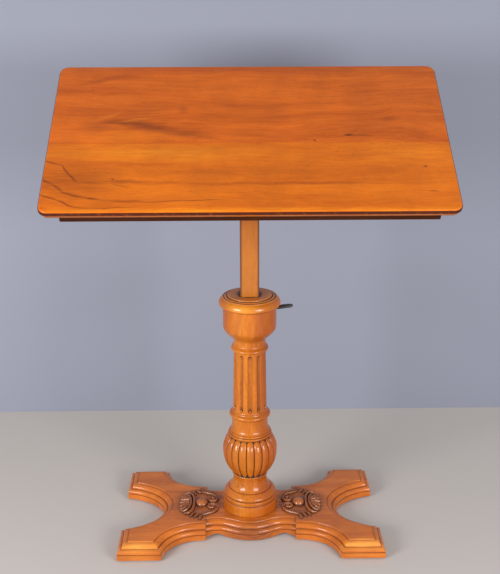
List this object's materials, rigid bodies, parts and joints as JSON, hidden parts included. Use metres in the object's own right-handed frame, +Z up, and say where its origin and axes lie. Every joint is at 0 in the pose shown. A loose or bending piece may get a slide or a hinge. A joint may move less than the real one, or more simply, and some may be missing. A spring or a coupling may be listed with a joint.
{
  "type": "tilting reading table",
  "caption": "Wooden reading table: tilting two-board top on a square post that slides in a turned, fluted and gadrooned column with a lever brake, on a moulded base with splayed feet",
  "frame": {"origin": "floor point under the column, at the middle of the object's box seen from above", "axes": "+Z up along the column; +X to the reader's right along the top's long side; +Y away from the reader, so the reader sits at -Y and the top rises towards +Y"},
  "size_m": [0.76, 0.3557, 0.9476],
  "materials": {
    "base_wood": "polished red-brown hardwood",
    "carved_wood": "carved dark-stained hardwood",
    "column_wood": "polished orange-brown hardwood with dark quirks",
    "dark_cap_wood": "dark polished hardwood",
    "front_board_wood": "polished golden figured board",
    "rear_board_wood": "polished darker figured board",
    "plain_wood": "plain unpolished hardwood",
    "steel": "plain turned steel",
    "dark_steel": "darkened steel",
    "brass": "satin brass",
    "leather": "dark brown leather",
    "felt": "pressed dark green wool felt"
  },
  "bodies": {
    "root": {"base_centre_block": "base_wood", "base_wing_left": "base_wood", "base_wing_right": "base_wood", "base_tongue_left": "plain_wood", "base_tongue_right": "plain_wood", "foot_pad_front_left": "leather", "foot_pad_back_left": "leather", "foot_pad_front_right": "leather", "foot_pad_back_right": "leather", "carving_left": "carved_wood", "carving_right": "carved_wood", "column_foot": "column_wood", "gadrooned_vase": "column_wood", "fluted_shaft": "column_wood", "collar_cup": "column_wood", "collar_cap": "dark_cap_wood", "waist_dowel": "plain_wood", "shaft_dowel": "plain_wood", "collar_dowel": "plain_wood", "cap_dowel": "plain_wood", "column_tie_bolt": "steel", "tie_bolt_washer": "steel", "stop_screw": "steel", "post_buffer": "felt", "lever_pin": "steel", "lever_spring": "dark_steel", "brake_shoe": "brass"},
    "post": {"square_post": "column_wood", "hinge_bolt": "steel", "hinge_nut": "steel", "hinge_washer_left": "brass", "hinge_washer_right": "brass", "clamp_bush": "brass"},
    "top": {"top_board_front": "front_board_wood", "top_board_rear": "rear_board_wood", "board_dowel_left": "plain_wood", "board_dowel_right": "plain_wood", "frame_rail_front": "plain_wood", "frame_rail_rear": "plain_wood", "frame_rail_left": "plain_wood", "frame_rail_right": "plain_wood", "bearer_left": "plain_wood", "bearer_right": "plain_wood", "frame_rail_front_screw_1": "steel", "frame_rail_front_screw_2": "steel", "frame_rail_rear_screw_1": "steel", "frame_rail_rear_screw_2": "steel", "frame_rail_left_screw_1": "steel", "frame_rail_right_screw_1": "steel", "bearer_left_screw_1": "steel", "bearer_left_screw_2": "steel", "bearer_right_screw_1": "steel", "bearer_right_screw_2": "steel", "quadrant_stay": "brass", "quadrant_screw_1": "steel", "quadrant_screw_2": "steel", "friction_washer": "leather"},
    "clamp": {"clamp_knob": "brass", "clamp_washer": "brass"},
    "lever": {"release_lever": "dark_steel"}
  },
  "joints": [
    {"name": "post_lift", "type": "slide", "parent": "root", "child": "post", "axis": [0, 0, 1], "range_m": [-0.1, 0.15]},
    {"name": "top_tilt", "type": "hinge", "parent": "post", "child": "top", "pos_m": [0, 0, 0.7746], "axis": [1, 0, 0], "range_deg": [-31.8, 28.2]},
    {"name": "clamp_turn", "type": "hinge", "parent": "post", "child": "clamp", "pos_m": [0.0325, 0, 0.7146], "axis": [1, 0, 0], "range_deg": [0, 270]},
    {"name": "lever_press", "type": "hinge", "parent": "root", "child": "lever", "pos_m": [0.0374, 0, 0.4895], "axis": [0, 1, 0], "range_deg": [0, 10], "stiffness_Nm_per_rad": 0.12, "springref_deg": -20.05}
  ]
}
